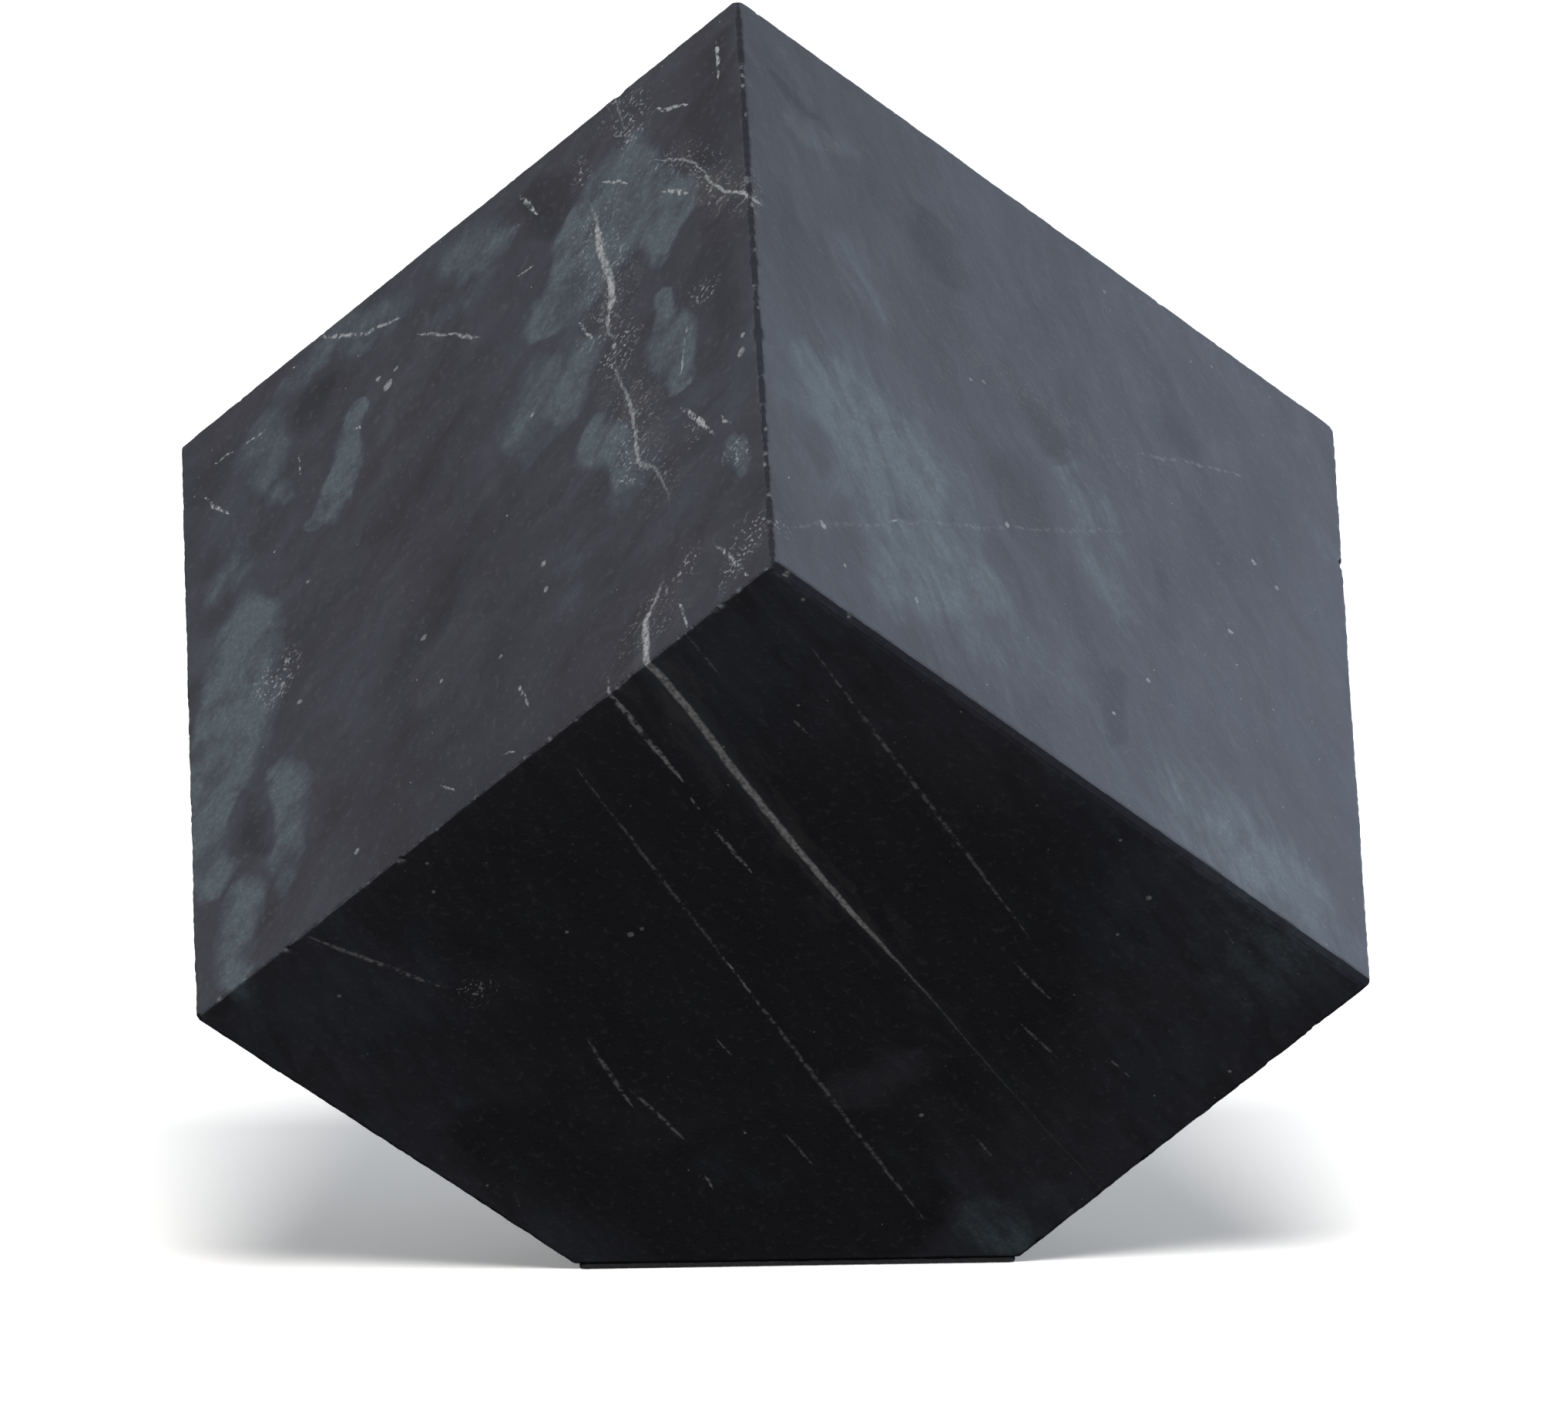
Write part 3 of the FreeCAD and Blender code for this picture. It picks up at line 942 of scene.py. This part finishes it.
crack = lay_ovals(CRACKS, crooked_on, SEAM_DEPTH, CRACK_FILL)
crumbs = marble.noise(place, 1.1, 2, 0.7)
crack_fill = crack.ramp(0.10, 1.0) * crumbs.ramp(0.40, 0.58, 0.1, 1.0)
print(rows_in(CRACKS), "cracks")

# %% Single crystals and groups of flecks
# Place on the face and radius, in mm.
CRYSTALS = {
    "left": [
        (37.1, 84.3, 1.2), (35.7, 86.9, 0.6), (38.6, 86.2, 0.5), (97.1, 40.1, 1.0), (97.5, 43.0, 0.6),
        (62.3, 26.0, 0.6), (62.5, 30.5, 0.6), (19.7, 40.6, 0.6), (16.4, 46.6, 0.6), (17.5, 49.8, 0.6),
        (28.2, 6.9, 0.6), (44.3, 24.6, 0.5), (41.1, 34.4, 0.5), (21.8, 60.9, 0.5), (62.1, 58.4, 0.5),
        (53.9, 20.5, 0.5),
    ],
    "right": [
        (92.5, 13.4, 1.0), (60.0, 38.0, 0.9), (64.8, 60.9, 0.6), (62.5, 62.5, 0.5), (15.7, 64.4, 0.6),
        (11.8, 62.6, 0.6), (21.2, 48.5, 0.6), (36.8, 27.1, 0.6), (43.7, 16.2, 0.5), (77.9, 11.9, 0.6),
        (89.6, 8.7, 0.5), (39.3, 97.0, 0.5),
    ],
    "under": [
        (95.6, 98.4, 0.7), (84.1, 85.7, 0.6), (39.8, 95.9, 0.6), (30.5, 91.4, 0.9), (29.1, 84.6, 0.6),
        (2.9, 77.6, 0.6), (25.7, 47.0, 0.8), (78.9, 40.1, 0.6), (99.3, 36.9, 0.6), (95.5, 34.1, 0.6),
        (72.9, 45.0, 1.1), (72.5, 46.6, 0.7), (92.1, 13.9, 0.6), (56.8, 3.0, 0.5), (39.6, 30.5, 0.5),
    ],
}
CRYSTAL_SIZE = {"left": 0.85, "right": 0.75, "under": 0.5}
crystal = lay_spots(CRYSTALS, crooked_on, SEAM_DEPTH, CRYSTAL_SIZE, gain=1.9)
FLECKED = {
    "left": [
        (80.5, 96.5, 4.2), (70.0, 94.6, 3.2), (91.5, 55.5, 3.0), (87.2, 32.6, 2.6), (15.3, 50.0, 4.8),
        (95.0, 20.9, 2.6), (87.0, 12.0, 2.8), (76.0, 57.5, 4.0), (93.5, 6.0, 4.2), (77.5, 37.0, 3.2),
    ],
    "under": [
        (80.4, 25.0, 2.5),
    ],
}
FLECKED_SIZE = dict.fromkeys(FLAT_WAYS, 1.0)
flecked = lay_spots(FLECKED, smoky_on, HAZE_DEPTH, FLECKED_SIZE, gain=1.6)
NEEDLE_WAYS = [(0.35, 0.80, 0.48), (0.60, -0.50, 0.62)]
needles = 0.0
for way in NEEDLE_WAYS:
    side_way = np.cross(way, (0.9, 0.1, 0.4))
    third_way = np.cross(way, side_way)
    turned = {}
    for name, squeeze, along in (("X", 0.30, way), ("Y", 2.1, side_way), ("Z", 2.1, third_way)):
        turned[name] = marble.vector("DOT_PRODUCT", place, tuple(squeeze * w for w in along), out="Value")
    turned = marble.add("ShaderNodeCombineXYZ", {}, turned)
    needles = marble.noise(turned, 0.62, 1, 0.5).ramp(0.635, 0.68) + needles
flecked = (flecked + near_veins * height_in.ramp(0.5, 5) * 0.7).kept_in_range()
rare = marble.noise(place, 0.8, 1, 0.5).ramp(0.80, 0.815)
flecks = needles * (flecked * 0.95 + cloud * 0.12) + rare
print(rows_in(CRYSTALS), "crystals and", rows_in(FLECKED), "groups of flecks")

# %% Colour the stone
body_tone = marble.mix(broad.ramp(0.38, 0.62), (0.0370, 0.0355, 0.0425, 1), (0.0380, 0.0400, 0.0480, 1))
body_tone = marble.mix(streaks.ramp(0.28, 0.50, 0.5, 0.0), body_tone, (0.0210, 0.0195, 0.0215, 1))
body_tone = marble.mix(wisps.ramp(0.32, 0.50, 0.35, 0.0), body_tone, (0.0230, 0.0215, 0.0240, 1))
body_tone = marble.mix(wisps.ramp(0.50, 0.68, 0.0, 0.30), body_tone, (0.0600, 0.0620, 0.0720, 1))
# Darker patches of stone, with painted shade over the underside, darkest near the base.
body_tone = marble.mix(dark_stone_and_painted_shade * 0.75, body_tone, (0.0175, 0.0170, 0.0200, 1))
body_tone = marble.mix(near_veins * wisps.ramp(0.50, 0.60, 0, 0.5), body_tone, (0.0600, 0.0500, 0.0440, 1))
body_tone = marble.mix(crumbs.ramp(0.56, 0.70, 0, 0.22), body_tone, (0.0900, 0.0920, 0.1000, 1))
smoke = marble.mix(grain.ramp(0.3, 0.7), (0.062, 0.080, 0.089, 1), (0.084, 0.107, 0.118, 1))
colour = marble.mix(cloud * 0.9, body_tone, smoke)
white = (white + crack_fill + rest_veins * 0.8).at_most(1)
spots = (crystal.ramp(0.15, 0.8) * 0.8 + flecks).kept_in_range()
colour = marble.mix((halo * 0.30).kept_in_range(), colour, (0.085, 0.093, 0.100, 1))
calcite = marble.mix(grain.ramp(0.32, 0.66), (0.13, 0.135, 0.14, 1), (0.34, 0.345, 0.345, 1))
grey_calcite = marble.mix(grain.ramp(0.32, 0.66), (0.20, 0.195, 0.192, 1), (0.34, 0.332, 0.328, 1))
calcite = marble.mix(height_in.ramp(0.6, 0.1), calcite, grey_calcite)
colour = marble.mix(spots * 0.8, colour, calcite)
colour = marble.mix((white * crumbs.ramp(0.30, 0.55, 0.55, 1.0)).kept_in_range(), colour, calcite)
on_arris = marble.add("ShaderNodeAttribute", {"attribute_name": "arris"}, {}, out="Fac")
on_chip = marble.add("ShaderNodeAttribute", {"attribute_name": "chip"}, {}, out="Fac")
# Painted shade: polished edge flats and rounded corners are coloured near black for the dark they reflect.
colour = marble.mix(on_arris * 0.85, colour, (0.009, 0.010, 0.013, 1))
colour = marble.mix(on_chip * crumbs.ramp(0.38, 0.60, 0.0, 0.75), colour, (0.13, 0.135, 0.14, 1))
polish = 0.43 - broad * 0.06 - white * 0.05 + grain * 0.06 - on_arris * 0.24
relief = grain * 0.35 + crumbs * 0.4
stone_mesh.materials.append(
    marble.close(
        {"IOR": 1.5, "Specular IOR Level": 0.5},
        {"Base Color": colour, "Roughness": polish},
        height=relief,
        depth=0.00003,
    )
)

# %% [markdown]
# ## Felt pad
#
# The pad is die-cut from black needled felt: flat, 0.6 mm thick, with a rim that bulges and frays a little
# where the die went through. A flat extrusion would look like card. So the pad is a stack of rings that
# follow the outline of the level cut, just inside it: rings across the bottom, up the soft rim and back
# across the top, each point moved by a little seeded noise. Fibres that the die pulled loose stand out of
# the rim.

# %% Outline the pad
felt_low, felt_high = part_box("felt_pad")
film_low, film_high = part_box("adhesive_film")
base_outline = np.array(face_outline(PLANE_NAMES.index("cut"))[0])
base_middle = base_outline.mean(axis=0)
RIM_GAP = 0.16
PAD_CORNER = 0.7
CORNER_PARTS = 8


def facing_out(way, centre):
    """The level direction square to a side of the pad, pointing away from its middle."""
    outward = np.array([way[1], -way[0], 0])
    return outward if outward @ (centre - base_middle) >= 0 else -outward


def pad_outline(gap, radius, step=0.16):
    """Points round the base cut, `gap` mm inside it, with its corners rounded."""
    centres = []
    ways = []
    for number, corner in enumerate(base_outline):
        before = unit(corner - base_outline[number - 1])
        after = unit(base_outline[(number + 1) % len(base_outline)] - corner)
        bisector = unit(after - before)
        half = math.acos(float(bisector @ after))
        centres.append(corner + bisector * (gap + radius) / math.sin(half))
        ways.append((before, after))
    made = []
    for number, centre in enumerate(centres):
        outward, last = (facing_out(way, centre) for way in ways[number])
        turn_by = math.acos(float(outward @ last))
        for part in range(CORNER_PARTS + 1):
            share = part / CORNER_PARTS
            mixed = outward * math.sin(turn_by * (1 - share)) + last * math.sin(turn_by * share)
            made.append(centre + mixed / math.sin(turn_by) * radius)
        following = centres[(number + 1) % len(centres)]
        made += divide(made[-1], following + last * radius, step)[1:]
    return np.array(made)


pad_rim = pad_outline(RIM_GAP, PAD_CORNER)

# %% Stack the rings of the pad
luck = np.random.default_rng(7)
thick = (felt_high.z - felt_low.z) / MM
floor_of_pad = felt_low.z / MM
ways_out = pad_rim - pad_rim.mean(axis=0)
ways_out = ways_out / np.linalg.norm(ways_out, axis=1)[:, None]
# Depth in from the rim in mm and height as a share of the thickness, from under the middle to over it.
# Outside the film the rim puffs up until it touches the stone.
SIDE = [
    (0.30, 0.03), (0.12, 0.08), (0.04, 0.22), (0.0, 0.45),
    (0.0, 0.75), (0.03, 0.98), (0.12, 1.09), (0.34, 1.12),
]
INWARDS = (0.75, 1.6, 2.8, 4.4, 6.4, 8.8, 11.6, 14.4)
bottom = [(depth, 0.02) for depth in reversed(INWARDS)]
top = [(depth, 0.985) for depth in INWARDS]
rings = bottom + SIDE + top
felt_points = []
fray = np.convolve(luck.normal(0, 0.06, len(pad_rim) + 8), np.ones(5) / 3, "same")[4:-4]
for depth, share in rings:
    inner = pad_rim - ways_out * depth
    inner = inner + ways_out * (fray * max(0, 1 - depth / 0.6))[:, None]
    lumps = luck.normal(0, 0.014, len(inner))
    height = np.clip(share + lumps / thick, 0.0, max(share, 0.995))
    inner[:, 2] = floor_of_pad + height * thick
    felt_points.append(inner)
around = len(pad_rim)
felt_points = np.concatenate(felt_points)
felt_faces = []
for ring in range(len(rings) - 1):
    for number in range(around):
        after = (number + 1) % around
        a, b = ring * around + number, ring * around + after
        felt_faces.append((a, b, b + around, a + around))
felt_faces.append(tuple(reversed(range(around))))
felt_faces.append(tuple(range((len(rings) - 1) * around, len(rings) * around)))
felt_mesh = bpy.data.meshes.new("felt_base")
felt_mesh.from_pydata([tuple(q) for q in felt_points * MM], [], felt_faces)
felt_mesh.validate()
for polygon in felt_mesh.polygons:
    polygon.use_smooth = True
felt = bpy.data.objects.new("felt_base", felt_mesh)
scene.collection.objects.link(felt)
print("felt", len(felt_points), "points,", [round(v * 1000, 2) for v in felt.dimensions], "mm")

# %% Pull fibres out of the rim
FIBRES = 520
FIBRE_WIDTH = 0.016
FIBRE_LENGTH = (0.18, 0.42)
CLEARANCE = 0.03
fibre_points = []
fibre_faces = []
for _ in range(FIBRES):
    number = int(luck.integers(around))
    root = pad_rim[number] - ways_out[number] * 0.1
    root[2] = floor_of_pad + thick * luck.uniform(0.15, 0.8)
    along_rim = np.cross(ways_out[number], (0, 0, 1))
    way = ways_out[number] * luck.uniform(0.2, 1) + along_rim * luck.normal(0, 0.9)
    way = way + (0, 0, luck.normal(0, 0.15))
    way = unit(way) * luck.uniform(*FIBRE_LENGTH)
    curl = along_rim * luck.normal(0, 0.10)
    first = len(fibre_points)
    for part in range(4):
        share = part / 3
        middle_of = root + way * share + curl * share * share
        middle_of[2] = floor_of_pad + np.clip(middle_of[2] - floor_of_pad, CLEARANCE, thick - CLEARANCE)
        slim = FIBRE_WIDTH * (1 - 0.6 * share)
        for angle in (0, 2.1, 4.2):
            ring_way = along_rim * math.cos(angle) + np.array((0, 0, 1)) * math.sin(angle)
            fibre_points.append(middle_of + ring_way * slim)
    for part in range(3):
        for side in range(3):
            a = first + part * 3 + side
            b = first + part * 3 + (side + 1) % 3
            fibre_faces.append((a, b, b + 3, a + 3))
    fibre_faces.append((first + 2, first + 1, first))
    fibre_faces.append((first + 9, first + 10, first + 11))
fibre_mesh = bpy.data.meshes.new("felt_fibres")
fibre_mesh.from_pydata([tuple(q) for q in np.array(fibre_points) * MM], [], fibre_faces)
fibre_mesh.validate()
fibres = bpy.data.objects.new("felt_fibres", fibre_mesh)
scene.collection.objects.link(fibres)
for pad_piece in (felt, fibres):
    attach(pad_piece, "root")
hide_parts("felt_pad")
print(FIBRES, "fibres round the rim")

# %% [markdown]
# ## Felt and adhesive finishes
#
# Needled felt is matted fibre with no weave: noise drawn out in two directions gives the fibres, a broader
# noise the thin and thick places, and a little sheen the fuzz that catches light. The adhesive film is a dark
# glossy tape with small air bubbles and a slight haze.

# %% Colour the felt
needled = Finish(bpy.data.materials.new("black_needled_felt"))
felt_place = needled.stretched(needled.add("ShaderNodeTexCoord", {}, {}, out="Object"), (1 / MM,) * 3)
lengthwise = needled.noise(needled.stretched(felt_place, (1.0, 5.0, 3.0)), 0.5, 4, 0.65, distortion=0.6)
crosswise = needled.noise(needled.stretched(felt_place, (4.0, 0.9, 3.0)), 0.5, 4, 0.65, distortion=0.6)
matted = lengthwise.at_least(crosswise)
thin_places = needled.noise(felt_place, 5.0, 3, 0.5)
lint = needled.noise(felt_place, 0.35, 1, 0.5).ramp(0.78, 0.80)
dye = needled.mix(matted.ramp(0.42, 0.72), (0.0045, 0.0045, 0.0055, 1), (0.020, 0.020, 0.022, 1))
dye = needled.mix(thin_places.ramp(0.35, 0.65, 0.0, 0.35), dye, (0.012, 0.012, 0.014, 1))
dye = needled.mix(lint * 0.6, dye, (0.10, 0.10, 0.105, 1))
felt_finish = needled.close(
    {"Sheen Weight": 0.15, "Sheen Roughness": 0.6, "Specular IOR Level": 0.2},
    {"Base Color": dye, "Roughness": 0.98 - matted * 0.12},
    height=matted + thin_places * 0.5,
    depth=0.00008,
)
felt_mesh.materials.append(felt_finish)
fibre_mesh.materials.append(felt_finish)

# %% Colour the adhesive film
tape = Finish(bpy.data.materials.new("dark_adhesive_film"))
tape_place = tape.stretched(tape.add("ShaderNodeTexCoord", {}, {}, out="Object"), (1 / MM,) * 3)
haze_in_tape = tape.noise(tape_place, 4.0, 3, 0.5)
cells = tape.add("ShaderNodeTexVoronoi", {}, {"Vector": tape_place, "Scale": 0.6}, out="Distance")
bubbles = cells.ramp(0.30, 0.12)
tape_colour = tape.mix(haze_in_tape.ramp(0.3, 0.7), (0.010, 0.010, 0.011, 1), (0.020, 0.019, 0.018, 1))
tape_colour = tape.mix(bubbles * 0.5, tape_colour, (0.035, 0.034, 0.032, 1))
tape_finish = tape.close(
    {"IOR": 1.47},
    {"Base Color": tape_colour, "Roughness": haze_in_tape * 0.2 + 0.18},
    height=bubbles,
    depth=0.00002,
)
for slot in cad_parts["adhesive_film"].material_slots:
    slot.material = tape_finish
print("film", [round(v * 1000, 2) for v in (film_low.z, film_high.z)], "mm above the table")
